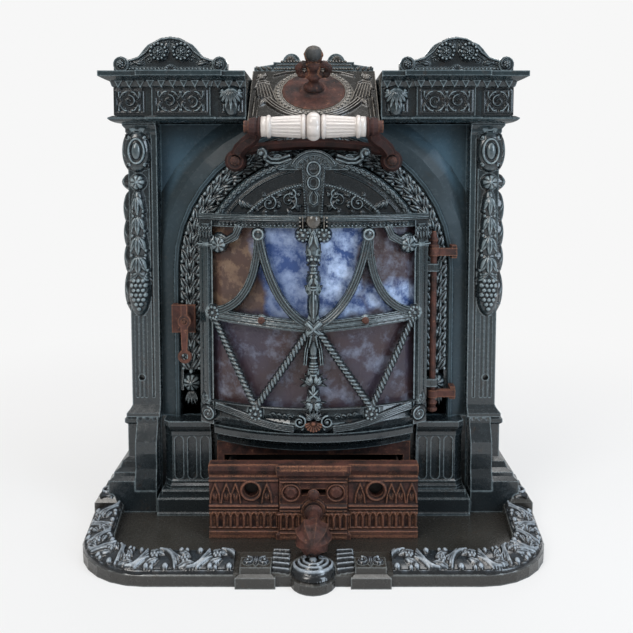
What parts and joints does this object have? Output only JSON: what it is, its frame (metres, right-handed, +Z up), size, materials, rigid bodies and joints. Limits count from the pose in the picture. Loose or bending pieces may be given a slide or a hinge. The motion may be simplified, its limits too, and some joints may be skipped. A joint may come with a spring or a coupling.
{
  "type": "cast iron stove",
  "caption": "Enamelled cast iron fireplace stove with a bowed mica door, lidded hood, porcelain carrying grip, ash drawer and dished hearth tray.",
  "frame": {"origin": "middle of the footprint on the floor", "axes": "+Z up, -Y out of the front, +X to the right seen from the front"},
  "size_m": [0.69, 0.452, 0.7583],
  "materials": {
    "enamel": "glossy vitreous enamel, slate teal",
    "tray_enamel": "worn dark enamel",
    "rust": "bare rusty cast iron",
    "iron": "sooty bare iron",
    "porcelain": "glazed porcelain, cream",
    "mica": "mottled mica"
  },
  "bodies": {
    "stove": {"hearth_plate": "tray_enamel", "plinth_left": "enamel", "plinth_right": "enamel", "pedestal_left": "enamel", "pedestal_right": "enamel", "side_base_left": "enamel", "side_base_right": "enamel", "bracket_left": "enamel", "bracket_right": "enamel", "lower_plate": "enamel", "apron": "enamel", "side_wall_left": "enamel", "side_wall_right": "enamel", "pilaster_left": "enamel", "pilaster_right": "enamel", "front_plate": "enamel", "arch_garland": "enamel", "entablature_left": "enamel", "entablature_right": "enamel", "pediment_left": "enamel", "pediment_right": "enamel", "top_plate": "enamel", "hood": "enamel", "gallery": "enamel", "drawer_frame": "rust", "hinge_rod": "rust", "hinge_bracket_top": "rust", "hinge_bracket_bottom": "rust", "latch_keeper": "rust", "handle_yoke": "rust", "handle_rod": "rust", "handle_bolt_left": "rust", "handle_bolt_right": "rust", "runner_left": "iron", "runner_right": "iron", "back_plate": "iron", "fire_box": "iron", "charging_chute": "iron", "flue_collar": "iron", "liner_left": "iron", "liner_right": "iron", "liner_back": "iron", "grate": "iron", "grip_left": "porcelain", "grip_right": "porcelain", "grip_bead": "porcelain"},
    "door": {"door_frame": "enamel", "lunette": "enamel", "mica_sheet": "mica", "mica_strip_top": "iron", "mica_strip_bottom": "iron", "door_bolt_left": "rust", "door_bolt_right": "rust"},
    "drawer": {"drawer_front": "rust", "ash_pan": "iron", "drawer_knob": "rust"},
    "slider": {"air_slider": "rust"},
    "latch": {"latch_lever": "rust"},
    "lid": {"lid": "rust", "lid_knob": "rust"}
  },
  "joints": [
    {"name": "door_hinge", "type": "hinge", "parent": "stove", "child": "door", "pos_m": [0.187, -0.004, 0.3], "axis": [0, 0, 1], "range_deg": [0, 110]},
    {"name": "drawer_slide", "type": "slide", "parent": "stove", "child": "drawer", "axis": [0, -1, 0], "range_m": [-0.075, 0.054]},
    {"name": "air_slide", "type": "slide", "parent": "drawer", "child": "slider", "axis": [1, 0, 0], "range_m": [-0.014, 0.014]},
    {"name": "latch_pivot", "type": "hinge", "parent": "stove", "child": "latch", "pos_m": [-0.198, -0.02, 0.32166], "axis": [0, 1, 0], "range_deg": [0, 90]},
    {"name": "lid_lift", "type": "slide", "parent": "stove", "child": "lid", "axis": [0, -0.6428, 0.766], "range_m": [0, 0.12]}
  ]
}
